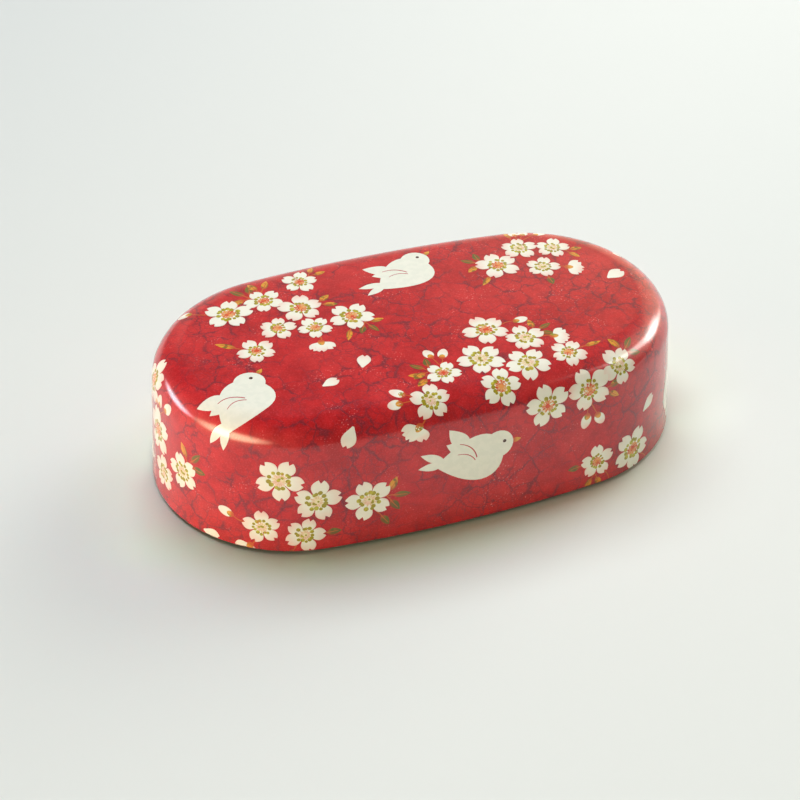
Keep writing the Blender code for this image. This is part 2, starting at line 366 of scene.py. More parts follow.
def make_inner_lid():
    """Plug-in lid: dished plate with a pull tab, raised bead that carries the cover, flange and
    grooved skirt."""
    r, fine = LID_ROUNDING, LID_ROUNDING / 2
    bead_out = cover_edge(COVER_WALL, 1)[1][0]
    bead_in = bead_out + BEAD_WIDTH
    skirt = tub_outside(SKIRT_BOTTOM) + TUB_WALL + SKIRT_CLEARANCE
    skirt_in = skirt + SKIRT_WALL
    groove, groove_low, groove_high = skirt + GROOVE_DEPTH, SEAL_LOW.z - LID_GAP, SEAL_HIGH.z + LID_GAP
    profile = section(
        (skirt_in, DISH - LID_PLATE),
        (skirt_in - r, SKIRT_BOTTOM + r, r, 180, 270),
        (skirt + r, SKIRT_BOTTOM + r, r, -90, 0),
        (skirt + fine, groove_low - fine, fine, 0, 90),
        (groove, groove_low),
        (groove, groove_high),
        (skirt + fine, groove_high + fine, fine, -90, 0),
        (skirt, FLANGE_BOTTOM),
        (FLANGE_EDGE + r, FLANGE_BOTTOM + r, r, -90, 0),
        (FLANGE_EDGE + r, FLANGE_TOP - r, r, 0, 90),
        (bead_out - BEAD_SLOPE - r, FLANGE_TOP + fine, fine, -90, -120, 2),
        (bead_out + r, BEAD_TOP - r, r, 35, 90),
        (bead_in - r, BEAD_TOP - r, r, 90, 145),
        (bead_in + BEAD_SLOPE + fine, DISH + r, r, -60, -90, 3),
    )
    lid = inset_caps(spin_oval("inner_lid_shell", profile), 2 * MM)
    tab = make_pull_tab()
    apply(lid, "BOOLEAN", operation="UNION", object=tab)
    remove(tab)
    return smooth(lid)


def thicken(height):
    """Extrudes a flat piece upwards in edit mode, turns its faces outwards and leaves the mode."""
    bpy.ops.mesh.select_all(action="SELECT")
    bpy.ops.mesh.extrude_region_move(TRANSFORM_OT_translate={"value": (0, 0, height)})
    bpy.ops.mesh.select_all(action="SELECT")
    bpy.ops.mesh.normals_make_consistent(inside=False)
    bpy.ops.object.mode_set(mode="OBJECT")


def make_pull_tab():
    """Tongue that stands in from the lid's bead above the dish, with a round free end."""
    root_radius = END_RADIUS - cover_edge(COVER_WALL, 1)[1][0] - BEAD_WIDTH / 2
    half = TAB_WIDTH / 2
    root = math.asin(half / root_radius)
    outline = []
    for step in range(9):
        angle = root * (step / 4 - 1)
        outline.append((END_CENTRE + root_radius * cos(angle), root_radius * sin(angle)))
    straight_end = outline[-1][0] - TAB_REACH + half / 2
    for step in range(25):
        angle = pi * (0.5 + step / 24)
        outline.append((straight_end + half / 2 * cos(angle), half * sin(angle)))
    bpy.ops.object.select_all(action="DESELECT")
    bpy.ops.mesh.primitive_circle_add(vertices=len(outline), fill_type="NGON")
    tab = named("pull_tab")
    set_points(tab, [(x, y, DISH + TAB_LIFT) for x, y in outline])
    bpy.ops.object.mode_set(mode="EDIT")
    thicken(TAB_THICKNESS)
    apply(tab, "BEVEL", width=TAB_THICKNESS * 0.3, segments=3, angle_limit=radians(30))
    return tab


def make_seal():
    """Rubber ring in the skirt's groove, with two rounded lips that reach for the tub's wall."""
    low, high = SEAL_LOW.z, SEAL_HIGH.z
    middle, lip = (low + high) / 2, (high - low) / 4
    skirt = tub_outside(SKIRT_BOTTOM) + TUB_WALL + SKIRT_CLEARANCE
    back = skirt + GROOVE_DEPTH - LID_GAP
    root = (LENGTH - SEAL_HIGH.x + SEAL_LOW.x) / 2 + SEAL_LIP
    profile = [(back, low), (root, low)]
    for centre in (low + lip, high - lip):
        for degrees in range(-75, 76, 25):
            angle = radians(degrees)
            reach = (cos(angle) - cos(radians(75))) / (1 - cos(radians(75)))
            profile.append((root - SEAL_LIP * reach, centre + lip * 0.92 * sin(angle)))
        if centre < middle:
            profile.append((root, middle))
    profile += [(root, high), (back, high), (back, low)]
    return smooth(spin_oval("seal_ring", profile), 50)


def make_divider():
    """The loose partition, its loose triangles merged and its edges broken as moulded."""
    pick(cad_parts["divider"])
    bpy.ops.object.duplicate()
    piece = named("divider_wall")
    bpy.ops.object.mode_set(mode="EDIT")
    bpy.ops.mesh.select_all(action="SELECT")
    bpy.ops.mesh.remove_doubles(threshold=FINE_MERGE)
    bpy.ops.mesh.dissolve_limited(angle_limit=radians(1))
    bpy.ops.object.mode_set(mode="OBJECT")
    apply(piece, "BEVEL", width=0.3 * MM, segments=3, angle_limit=radians(40))
    return smooth(piece)


# The cover's outer surface, and the way that flat motifs are wrapped onto it


def outer_section(steps=40, skirt=30 * MM):
    """Section of the outer surface from the flat top to below the rim: (inset, height) points
    and their (outward, up) normals."""
    points, normals = [(WIDTH, TOP)], [(0.0, 1.0)]
    for (inset, height), step in zip(cover_edge(0, steps)[::-1], range(steps, -1, -1)):
        turn = pi / 2 * step / steps
        points.append((inset, height))
        normals.append((cos(turn), COVER_DRAFT * cos(turn) + sin(turn)))
    points.append((-COVER_DRAFT * skirt, RIM - skirt))
    normals.append((1.0, COVER_DRAFT))
    normals = np.array(normals)
    return np.array(points), normals / np.linalg.norm(normals, axis=1, keepdims=True)


SECTION, SECTION_NORMALS = outer_section()
FLAT_EDGE = SECTION[1, 0]
SECTION_LENGTHS = np.concatenate([[0], np.linalg.norm(np.diff(SECTION[1:], axis=0), axis=1).cumsum()])


def plan_arcs(points):
    """For each point the centre, direction and distance from it, and radius of its plan arc,
    in the quarter where x and y are positive."""
    flat = np.abs(points[:, :2])
    side = np.arctan2(flat[:, 0], flat[:, 1] + SIDE_CENTRE) < SIDE_HALF_ANGLE
    centre = np.where(side[:, None], (0.0, -SIDE_CENTRE), (END_CENTRE, 0.0))
    radius = np.where(side, SIDE_RADIUS, END_RADIUS)
    spoke = flat - centre
    reach = np.linalg.norm(spoke, axis=1)
    return centre, spoke / reach[:, None], reach, radius


def onto_cover(points):
    """The nearest places on the cover's outer surface, and its normals there."""
    centre, spoke, reach, radius = plan_arcs(points)
    place = np.column_stack([radius - reach, points[:, 2]])
    start, run = SECTION[:-1], np.diff(SECTION, axis=0)
    share = ((place[:, None] - start) * run).sum(2) / (run**2).sum(1)
    share = share.clip(0, 1)
    foot = start + share[:, :, None] * run
    best = ((place[:, None] - foot) ** 2).sum(2).argmin(1)
    row = np.arange(len(points))
    inset, height = foot[row, best].T
    share = share[row, best][:, None]
    tilt = SECTION_NORMALS[best] * (1 - share) + SECTION_NORMALS[best + 1] * share
    tilt /= np.linalg.norm(tilt, axis=1, keepdims=True)
    sign = np.where(points[:, :2] < 0, -1.0, 1.0)
    flat = (centre + spoke * (radius - inset)[:, None]) * sign
    return np.column_stack([flat, height]), np.column_stack([spoke * tilt[:, :1] * sign, tilt[:, 1]])


def spot_on_cover(x, y):
    """The cover's place, right and up at millimetres on the rolled-out sheet, whose middle is
    the middle of the top."""
    point = np.array([[x, y, 0.0]]) * MM
    centre, spoke, reach, radius = plan_arcs(point)
    beyond = reach[0] - radius[0] + FLAT_EDGE
    if beyond <= 0:
        return np.array([x * MM, y * MM, TOP]), np.eye(3)[0], np.eye(3)[1]
    inset = np.interp(beyond, SECTION_LENGTHS, SECTION[1:, 0])
    height = np.interp(beyond, SECTION_LENGTHS, SECTION[1:, 1])
    out, rise = (np.interp(beyond, SECTION_LENGTHS, SECTION_NORMALS[1:, i]) for i in (0, 1))
    sign = np.where(point[0, :2] < 0, -1.0, 1.0)
    flat = (centre[0] + spoke[0] * (radius[0] - inset)) * sign
    spoke = np.append(spoke[0] * sign, 0.0)
    along = np.array([-spoke[1], spoke[0], 0.0])
    down = spoke * rise - np.array([0, 0, out])
    right = spoke[0] * down + along[0] * along
    up = spoke[1] * down + along[1] * along
    return np.append(flat, height), right, up


def wrap(points, x, y):
    """Rolls flat points (x and y in millimetres, z in metres over the face) out along the cover
    from a spot on its sheet."""
    place, right, up = spot_on_cover(x, y)
    heading = (points[:, :1] * right + points[:, 1:2] * up) * MM
    reach = np.linalg.norm(heading, axis=1, keepdims=True) + 1e-9
    heading /= reach
    places = np.tile(place, (len(points), 1))
    for _ in range(WRAP_STEPS):
        places, normals = onto_cover(places + heading * reach / WRAP_STEPS)
        heading -= (heading * normals).sum(1, keepdims=True) * normals
        heading /= np.linalg.norm(heading, axis=1, keepdims=True)
    return places + normals * points[:, 2:]


def turned(points, degrees, size=1.0, x=0.0, y=0.0):
    """Flat points sized, turned anticlockwise and moved, with z left as it is."""
    c, s = cos(radians(degrees)) * size, sin(radians(degrees)) * size
    flat = points[:, :2] @ np.array([[c, s], [-s, c]]) + (x, y)
    return np.column_stack([flat, points[:, 2]])


# Flat motifs, in millimetres, each rooted at the origin and pointing along +Y


def flat_shape(name, outline, material, pitch=MESH_PITCH):
    """A flat closed shape of small faces. Its upper face is at z 1 and its lower at 0, and its
    UV map is its own box."""
    bpy.ops.object.select_all(action="DESELECT")
    bpy.ops.mesh.primitive_circle_add(vertices=len(outline), fill_type="NGON")
    piece = named(name)
    outline = np.array([(x, y, 0.0) for x, y in outline])
    set_points(piece, outline)
    low, high = outline.min(0), outline.max(0)
    bpy.ops.object.mode_set(mode="EDIT")
    for axis in (0, 1):
        count = int((high[axis] - low[axis]) / pitch)
        for step in range(1, count + 1):
            cut = Vector((0, 0, 0))
            cut[axis] = low[axis] + (high[axis] - low[axis]) * step / (count + 1)
            normal = Vector((axis == 0, axis == 1, 0))
            bpy.ops.mesh.select_all(action="SELECT")
            bpy.ops.mesh.bisect(plane_co=cut, plane_no=normal)
    thicken(1)
    corners = [corner.vertex_index for corner in piece.data.loops]
    boxed = (get_points(piece)[corners, :2] - low[:2]) / (high - low)[:2]
    piece.data.uv_layers.active.data.foreach_set("uv", boxed.ravel())
    piece.data.materials.append(material)
    return piece


def placed(piece, degrees=0.0, size=1.0, x=0.0, y=0.0, layer=0, flush=0.0):
    """A copy of a flat shape, sized, turned and moved, on a layer of its motif."""
    made = copy_of(piece, piece.name)
    points = turned(get_points(made), degrees, size, x, y)
    points[:, 2] += np.where(points[:, 2] > 0.5, layer, 0)
    set_points(made, points)
    tint = made.data.attributes.new("flush", "FLOAT", "POINT")
    tint.data.foreach_set("value", [flush] * len(points))
    return made


def motif(pieces, name):
    """Joins flat shapes into a motif, out of the render."""
    made = join(pieces, name)
    made.hide_render = True
    return made


def petal_outline(length=6.4, width=5.1, notch=0.17):
    """Cherry petal: narrow foot, broad shoulders and a notched tip."""
    side = []
    for step in range(10):
        along = step / 9
        half = width / 2 * sin(pi * (0.10 + 0.76 * along) ** 1.4)
        side.append((half, along * length * 0.93))
    lobe = (width * 0.15, length)
    left = [(-x, y) for x, y in reversed(side + [lobe])]
    return side + [lobe, (0, length * (1 - notch))] + left


def leaf_outline(length, width, bend=0.0):
    """Pointed leaf, its tip bent sideways."""
    right, left = [], []
    for step in range(11):
        along = step / 10
        half = width / 2 * sin(pi * along**0.85) ** 0.9
        middle = bend * along**2
        right.append((middle + half, along * length))
        left.append((middle - half, along * length))
    return right + left[-2:0:-1]


def around(points):
    """Angles of evenly spread points on a circle."""
    return [tau * step / points for step in range(points)]


def disc_outline(radius, points=8):
    return [(radius * cos(a), radius * sin(a)) for a in around(points)]


def egg_outline(length, width, points=18):
    """Egg shape that stands on its blunt end."""
    return [
        (width / 2 * (1 - 0.16 * sin(a)) * cos(a), length / 2 * (1 + sin(a))) for a in around(points)
    ]


def drop_outline(length, height, points=36):
    """Drop with its round end towards +X and its point towards -X."""
    return [(length / 2 * -cos(a), height * 0.65 * sin(a) * sin(a / 2)) for a in around(points)]


def strip_outline(x, y, bend, width, steps=8):
    """Thin line from the origin to (x, y), bent sideways, and thinner at its end."""
    across = Vector((-y, x)).normalized()
    right, left = [], []
    for step in range(steps + 1):
        along = step / steps
        middle = Vector((x, y)) * along + across * bend * 4 * along * (1 - along)
        half = across * width / 2 * (1 - 0.4 * along)
        right.append(tuple(middle - half))
        left.append(tuple(middle + half))
    return right + left[::-1]


def polar(degrees, reach):
    """Flat place at a reach from the origin, with degrees counted from +Y."""
    angle = radians(degrees + 90)
    return reach * cos(angle), reach * sin(angle)


def remove(*pieces):
    for piece in pieces:
        bpy.data.objects.remove(piece, do_unlink=True)


def stamped(name, outline, material, *place, **layer):
    """A flat shape that is used once, placed as it is made."""
    piece = flat_shape(name, outline, material)
    made = placed(piece, *place, **layer)
    remove(piece)
    return made


def make_blossom(draw, number):
    """Five-petalled blossom of 14 mm, with small irregularities of its own."""
    petal = flat_shape("petal", petal_outline(), PETAL)
    pink = draw.uniform(0.3, 1.0) if number % 2 else 0.1
    petals = []
    for k in range(5):
        turn = 72 * k + draw.uniform(-5, 5)
        size = draw.uniform(0.93, 1.04)
        flush = min(1.0, max(0.0, pink + draw.uniform(-0.35, 0.35)))
        petals.append(placed(petal, turn, size, *polar(turn, 0.55), 0.12 * k, flush))
    remove(petal)
    return motif(petals, f"blossom_{number}")


def ragged_outline(draw, reach, points=20):
    """Blot with short teeth."""
    outline = []
    for k, angle in enumerate(around(points)):
        tip = reach * (draw.uniform(0.85, 1.1) if k % 2 else draw.uniform(0.6, 0.85))
        outline.append((tip * cos(angle), tip * sin(angle)))
    return outline


def make_stamens(draw, heart, number):
    """Ring of anthers on fine filaments round a centre, which is orange where it is a heart."""
    centre = ragged_outline(draw, 2.3)
    shapes = [stamped("centre", centre, HEART if heart else PALE_HEART, layer=0.7)]
    dots, start = 13, 0.9
    for k in range(dots):
        turn = 360 * (k + draw.uniform(-0.3, 0.3)) / dots
        reach = draw.uniform(2.3, 3.1)
        line = strip_outline(0, reach - start, draw.uniform(-0.15, 0.15), 0.22, 3)
        shapes.append(stamped("filament", line, FILAMENT, turn, 1, *polar(turn, start), 1.0))
        dot, place = disc_outline(draw.uniform(0.50, 0.78)), polar(turn, reach)
        shapes.append(stamped("anther", dot, ANTHER, 0, 1, *place, 1.2 + 0.05 * k))
    for k in range(0 if heart else 3):
        angle, reach = draw.uniform(0, tau), draw.uniform(0.2, 1.3)
        dot, place = disc_outline(draw.uniform(0.3, 0.55)), (reach * cos(angle), reach * sin(angle))
        shapes.append(stamped("anther", dot, ANTHER, 0, 1, *place, 1.9 + 0.05 * k))
    return motif(shapes, f"stamens_{'heart' if heart else 'plain'}_{number}")


def make_leaves(draw, number):
    """Sprig of one to three narrow leaves on a fine stem."""
    shapes, root = [], 2.2
    for k in range(1 + number % 3):
        length, width = draw.uniform(4.6, 7.2), draw.uniform(2.0, 2.8)
        leaf = leaf_outline(length, width, draw.uniform(-0.5, 0.5))
        turn = draw.uniform(-12, 12) + (k - (number % 3) / 2) * 48
        place = turn, 1, *polar(turn, root)
        shapes.append(stamped("leaf", leaf, LEAF, *place, 0.1 * k, draw.random()))
        rib = strip_outline(0, length * 0.8, 0, 0.34, 3)
        shapes.append(stamped("rib", rib, STEM, *place, 0.6 + 0.1 * k))
        stem = strip_outline(0, root + 1.5, 0.2, 0.42, 3)
        shapes.append(stamped("stem", stem, STEM, turn, layer=0.5 + 0.1 * k))
    return motif(shapes, f"leaves_{number}")


def make_buds(draw, number):
    """Sprig of one to three buds on curved stems."""
    shapes, buds = [], 1 + number % 3
    calyx = egg_outline(2.6, 2.3, 12)
    for k in range(buds):
        turn = (k - (buds - 1) / 2) * 42 + draw.uniform(-8, 8)
        x, y = polar(turn, draw.uniform(4.0, 8.5))
        stem = strip_outline(x, y, draw.uniform(-0.8, 0.8), 0.42)
        bud = egg_outline(draw.uniform(4.6, 5.6), draw.uniform(3.4, 4.2))
        shapes.append(stamped("stem", stem, STEM, layer=0.1 * k))
        shapes.append(stamped("bud", bud, PETAL, turn, 1, x, y, 0.4, draw.uniform(0, 0.8)))
        shapes.append(stamped("calyx", calyx, CALYX, turn, 1, x * 0.88, y * 0.88, 0.7))
    return motif(shapes, f"buds_{number}")


def make_side_blossom(draw, number):
    """Blossom seen from the side: a fan of petals over a calyx on a short stem."""
    shapes = [stamped("stem", strip_outline(0, 4.5, 0.6, 0.6), STEM)]
    petal, calyx = petal_outline(6.0, 4.6), egg_outline(3.4, 2.6, 12)
    for k, turn in enumerate((-48, 44, -8)):
        place = turn + draw.uniform(-6, 6), 1, 0, 4.6
        shapes.append(stamped("petal", petal, PETAL, *place, 0.2 * k, draw.random()))
    shapes.append(stamped("calyx", calyx, CALYX, 0, 1, 0, 3.2, 0.8))
    return motif(shapes, f"side_blossom_{number}")


def make_loose_petal(number):
    """Single heart-like petal."""
    petal = petal_outline(7.2, 5.4 - 0.5 * number, 0.12)
    shape = stamped("petal", petal, PETAL, 0, 1, 0, -3.6, 0, 0.25 + 0.3 * number)
    return motif([shape], f"loose_petal_{number}")


def make_plover():
    """Plain round plover of 27 mm that flies towards +X, as stencil cutters draw it."""
    body, head, eye = drop_outline(23, 17), disc_outline(5.0, 24), disc_outline(0.62, 10)
    wing, tail = leaf_outline(11.5, 6.2, -2.5), leaf_outline(8.5, 3.0, 0.6)
    beak, fold = leaf_outline(3.6, 1.7), strip_outline(0, 8.5, -1.3, 0.45)
    shapes = [
        stamped("part", *part)
        for part in (
            (wing, PLOVER, 28, 0.9, -1.5, 3.5, 0.0),
            (tail, PLOVER, 78, 1, -8.5, 0.6, 0.1),
            (tail, PLOVER, 104, 1, -8.5, -0.6, 0.2),
            (body, PLOVER, 8, 1, 0, 0, 0.3),
            (head, PLOVER, 0, 1, 9.3, 4.6, 0.4),
            (wing, PLOVER, 52, 1, 2.0, 1.0, 0.5),
            (fold, FOLD, 50, 1, 2.4, 0.6, 1.4),
            (fold, FOLD, 68, 0.8, 2.0, -0.4, 1.5),
            (beak, CALYX, -78, 1, 13.4, 5.2, 0.35),
            (eye, EYE, 0, 1, 11.2, 5.6, 1.4),
        )
    ]
    return motif(shapes, "plover_0")


# The print's layout: what grows by rule in each spray, and where sprays, petals and birds lie


def grow_spray(draw, blossoms):
    """Blossoms that touch in a bunch, longer along X: (x, y, half size) in millimetres."""
    grown = [(0.0, 0.0, draw.uniform(*LARGE_BLOSSOM))]
    long = 11.5 * math.sqrt(blossoms)
    while len(grown) < blossoms:
        x, y, half = draw.choice(grown)
        fresh = draw.uniform(*BLOSSOM)
        angle = draw.uniform(0, tau)
        gap = (half + fresh) * draw.uniform(0.90, 1.12)
        x, y = x + gap * cos(angle), y + gap * sin(angle)
        within = hypot(x / long, y / (0.55 * long)) < 1
        if within and all(hypot(x - a, y - b) > 0.88 * (fresh + c) for a, b, c in grown):
            grown.append((x, y, fresh))
    middle = np.mean([place[:2] for place in grown], axis=0)
    return [(x - middle[0], y - middle[1], half) for x, y, half in grown]


def grow_sprigs(draw, grown, count):
    """Roots for leaves and buds that stand out from a spray: (x, y, degrees, tip)."""
    roots = []
    tries = 0
    while grown and len(roots) < count and tries < 400:
        tries += 1
        x, y, half = draw.choice(grown)
        angle = draw.uniform(0, tau)
        tip = half + 7.5
        tip_x, tip_y = x + tip * cos(angle), y + tip * sin(angle)
        clear = all(hypot(tip_x - a, tip_y - b) > c + 3.0 for a, b, c in grown)
        apart = all(hypot(tip_x - a, tip_y - b) > 8.5 for _, _, _, (a, b) in roots)
        if clear and apart:
            root_x, root_y = x + half * 0.72 * cos(angle), y + half * 0.72 * sin(angle)
            roots.append((root_x, root_y, math.degrees(angle) - 90, (tip_x, tip_y)))
    return roots


# Sprays: x and y on the rolled-out sheet, turn in degrees, blossoms
SPRAYS = (
    (-40, 14, 20, 8), (20, -38, 14, 12), (44, 22, 16, 5), (-58, -70, 12, 5), (-104, -4, 80, 5),
    (68, -72, -12, 4), (118, 14, 75, 5), (-16, 62, -12, 8), (56, 66, 20, 6), (-84, 52, 48, 5),
    (-8, -84, 4, 2),
)
# Plovers: x and y on the sheet, turn in degrees
PLOVERS = (
    (4, 24, 20), (-66, -26, 35), (0, -66, -8), (104, -34, -60), (96, 50, 30), (-38, 84, 170),
    (-120, 30, 100),
)
LOOSE_PETALS = 44


def print_on_cover(draw):
    """Wraps the whole layout and returns it as lists of pieces, by kind."""
    kinds = {"blossoms": [], "stamens": [], "sprigs": [], "petals": [], "plovers": []}
    blossoms = [make_blossom(draw, number) for number in range(4)]
    stamens = [[make_stamens(draw, heart, number) for number in range(3)] for heart in (0, 1)]
    leaves = [make_leaves(draw, number) for number in range(4)]
    buds = [make_buds(draw, number) for number in range(4)]
    sides = [make_side_blossom(draw, number) for number in range(2)]
    loose = [make_loose_petal(number) for number in range(3)]
    plover = make_plover()
    taken = []

    def lay(x, y, items):
        """Wraps (kind, motif, x, y, degrees, size, layer) items of one group round a spot."""
        flat = []
        for _, shape, a, b, degrees, size, layer in items:
            points = turned(get_points(shape), degrees, size, a, b)
            lift = PRINT_LIFT + LAYER * (layer + points[:, 2] - 1)
            points[:, 2] = np.where(points[:, 2] > 0.5, lift, PRINT_SINK)
            flat.append(points)
        wrapped = wrap(np.concatenate(flat), x, y)
        ends = np.cumsum([len(points) for points in flat])[:-1]
        for item, points in zip(items, np.split(wrapped, ends)):
            made = copy_of(item[1], item[0])
            made.hide_render = False
            set_points(made, points)
            kinds[item[0]].append(made)

    def clear(place, room):
        return all(np.linalg.norm(place - other) > room * MM + far for other, far in taken)

    for x, y, degrees in PLOVERS:
        lay(x, y, [("plovers", plover, 0, 0, degrees, 1, 0)])
        taken.append((spot_on_cover(x, y)[0], PLOVER_ROOM * MM))
    for x, y, degrees, count in SPRAYS:
        grown = []
        for a, b, half in grow_spray(draw, count):
            a, b, _ = turned(np.array([[a, b, 0.0]]), degrees)[0]
            place = wrap(np.array([[a, b, 0.0]]), x, y)[0]
            if clear(place, half):
                grown.append((a, b, half, place))
        items, tips = [], []
        for a, b, turn, tip in grow_sprigs(draw, [item[:3] for item in grown], 2 + count):
            place = wrap(np.array([[*tip, 0.0]]), x, y)[0]
            if clear(place, 3):
                shape = draw.choice(leaves + leaves + buds + sides)
                size, layer = draw.uniform(0.85, 1.05), 0.2 * len(tips)
                items.append(("sprigs", shape, a, b, turn, size, layer))
                tips.append((place, TIP_ROOM * MM))
        for number, (a, b, half, place) in enumerate(grown):
            turn, size, layer = draw.uniform(0, 360), half / 7, 4 + 0.7 * (number % 3)
            items.append(("blossoms", draw.choice(blossoms), a, b, turn, size, layer))
            centre = draw.choice(stamens[draw.random() < 0.42])
            items.append(("stamens", centre, a, b, turn, size, layer))
        if items:
            lay(x, y, items)
        taken += tips
        taken += [(item[3], item[2] * MM) for item in grown]
    loose_count = 0
    for _ in range(LOOSE_PETALS * 3):
        x = draw.uniform(-SHEET_HALF_LENGTH, SHEET_HALF_LENGTH)
        y = draw.uniform(-SHEET_HALF_WIDTH, SHEET_HALF_WIDTH)
        if hypot(max(0, abs(x) - SHEET_MIDDLE) / SHEET_END, y / SHEET_HALF_WIDTH) > 1:
            continue
        place = spot_on_cover(x, y)[0]
        if clear(place, 5) and loose_count < LOOSE_PETALS:
            petal = draw.choice(loose)
            lay(x, y, [("petals", petal, 0, 0, draw.uniform(0, 360), draw.uniform(0.8, 1.0), 0)])
            taken.append((place, PETAL_ROOM * MM))
            loose_count += 1
    remove(*blossoms, *stamens[0], *stamens[1], *leaves, *buds, *sides, *loose, plover)
    return kinds


def finish_print(pieces, name):
    """Joins one kind of print, ends it above the rim's rounding and gives it the cover's
    normals, so that reflections run on over it."""
    piece = join(pieces, name)
    bpy.ops.object.mode_set(mode="EDIT")
    bpy.ops.mesh.select_all(action="SELECT")
    bpy.ops.mesh.bisect(plane_co=(0, 0, RIM + RIM_ROUNDING), plane_no=(0, 0, 1), clear_inner=True,
                        threshold=FINE_MERGE)
    bpy.ops.mesh.select_all(action="SELECT")
    bpy.ops.mesh.fill_holes(sides=0)
    bpy.ops.object.mode_set(mode="OBJECT")
    pick(piece)
    bpy.ops.object.shade_smooth()
    piece.data.normals_split_custom_set_from_vertices(onto_cover(get_points(piece))[1])
    dress(piece, None, "outer_cover", "printed_cover_abs")


# Finishes


def new_finish(name):
    """An empty material with its shader."""
    made = bpy.data.materials.new(name)
    made.use_nodes = True
    tree = made.node_tree
    return made, tree, tree.nodes["Principled BSDF"]


def clear_coat(tree, shader):
    """Print under a sprayed clear coat: even gloss with a faint orange peel."""
    place = add_node(tree, "ShaderNodeTexCoord").outputs["Object"]
    peel = add_node(tree, NOISE, None, {"Vector": place, "Scale": 0.42 / MM, "Detail": 2})
    inputs = {"Height": peel, "Strength": 0.05, "Distance": 0.1 * MM}
    bump = add_node(tree, "ShaderNodeBump", None, inputs)
    fill(shader, {"Roughness": 0.55, "Specular IOR Level": 0.2, "Coat Weight": 1.0,
                  "Coat Roughness": 0.13, "Coat IOR": 1.5, "Coat Normal": bump})
    return place


def turning(tree, first, second, source, *span):
    """Colour that turns from the first to the second while the source goes through a span."""
    share = add_node(tree, RANGE, EASED, (source, *span))
    return add_node(tree, MIX, COLOURS, {0: share, 6: first, 7: second}).outputs[2]


def crumpled_paper_print():
    """Ground of the cover: printed film with the look of crumpled dyed paper, so it is a cloudy
    red with darker creases, finer threads between them and pale flecks."""
    made, tree, shader = new_finish("crumpled_paper_print")
    place = clear_coat(tree, shader)

    def warped(size_mm, reach_mm, detail):
        """Object coordinates pushed about by a noise."""
        inputs = {"Vector": place, "Scale": 1 / (size_mm * MM), "Detail": detail}
        cloud = add_node(tree, NOISE, None, inputs).outputs["Color"]
        push = add_node(tree, VECTOR, {"operation": "SUBTRACT"}, (cloud, (0.5, 0.5, 0.5)))
        push = add_node(tree, VECTOR, {"operation": "SCALE"}, {0: push, "Scale": reach_mm * MM})
        return add_node(tree, VECTOR, SUM, (place, push))

    # Clouds: size in millimetres, detail, roughness, coordinates, then from, from, to, to
    masks = {}
    for name, size_mm, detail, roughness, vector, *span in (
        ("mottle", 5, 6, 0.66, place, 0.34, 0.66),
        ("cloud", 18, 4, 0.5, place, 0.38, 0.66, 0, 0.40),
        ("fade", 13, 3, 0.5, place, 0.36, 0.58),
        ("breadth", 4, 3, 0.5, place, 0.34, 0.72, 0.012, 0.12),
        ("patch", 14, 3, 0.5, warped(20, 24, 1), 0.40, 0.60, 0, 0.50),
        ("smudge", 8, 5, 0.7, warped(9, 8, 2), 0.58, 0.72, 0, 0.28),
        ("grain", 0.45, 3, 0.7, place, 0.45, 0.80, 0, 0.36),
        ("strewn", 9, 2, 0.5, place, 0.52, 0.68, 0, 0.42),
        ("fleck", 0.45, 0, 0.5, place, 0.72, 0.80),
    ):
        inputs = {"Vector": vector, "Scale": 1 / (size_mm * MM), "Detail": detail,
                  "Roughness": roughness}
        masks[name] = add_node(tree, RANGE, EASED, (add_node(tree, NOISE, None, inputs), *span))
    masks["fleck"] = add_node(tree, MATH, PRODUCT, (masks["fleck"], masks["strewn"]))

    # Creases along the edges of warped cells: wide ones in a halo, and finer threads
    creases = []
    for cell_mm, vector in ((7.6, warped(4, 4.8, 5)), (3.3, warped(2.2, 3.0, 5))):
        inputs = {"Vector": vector, "Scale": 1 / (cell_mm * MM)}
        cells = add_node(tree, "ShaderNodeTexVoronoi", {"feature": "DISTANCE_TO_EDGE"}, inputs)
        creases.append(cells.outputs["Distance"])
    wide, fine = creases
    wide = add_node(tree, MATH, {"operation": "DIVIDE"}, (wide, masks["breadth"]))
    for name, distance, near, far, strength, mask in (
        ("halo", wide, 0, 3, 0.26, "fade"),
        ("line", wide, 0.2, 0.9, 0.72, "fade"),
        ("thread", fine, 0, 0.08, 1, "patch"),
    ):
        crease = add_node(tree, RANGE, EASED, (distance, near, far, strength, 0))
        masks[name] = add_node(tree, MATH, PRODUCT, (crease, masks[mask]))

    colour = "#A90C15"
    for name, shade, blend in (
        ("mottle", "#C4191F", "MIX"),
        ("cloud", "#D63233", "MIX"),
        ("halo", "#8C1726", "MIX"),
        ("line", "#661F2D", "MIX"),
        ("thread", "#701C2E", "MIX"),
        ("smudge", "#7A1C2C", "MIX"),
        ("grain", "#E0505A", "SCREEN"),
        ("fleck", "#F0A49C", "MIX"),
    ):
        settings = {"data_type": "RGBA", "blend_type": blend}
        colour = add_node(tree, MIX, settings, {0: masks[name], 6: colour, 7: shade}).outputs[2]
    fill(shader, {"Base Color": colour})
    return made


def new_ink(name, cloud_mm, detail):
    """Printed ink under the same clear coat, and what its colour can follow: the UV axes of the
    motif, a cloudy noise and the motif's flush."""
    made, tree, shader = new_finish(name)
    place = clear_coat(tree, shader)
    axes = add_node(tree, "ShaderNodeSeparateXYZ", None, (add_node(tree, "ShaderNodeUVMap"),)).outputs
    inputs = {"Vector": place, "Scale": 1 / (cloud_mm * MM), "Detail": detail}
    cloud = add_node(tree, NOISE, None, inputs)
    flush = add_node(tree, "ShaderNodeAttribute", {"attribute_name": "flush"}).outputs["Fac"]
    return made, tree, shader, {"x": axes[0], "y": axes[1], "cloud": cloud, "flush": flush}


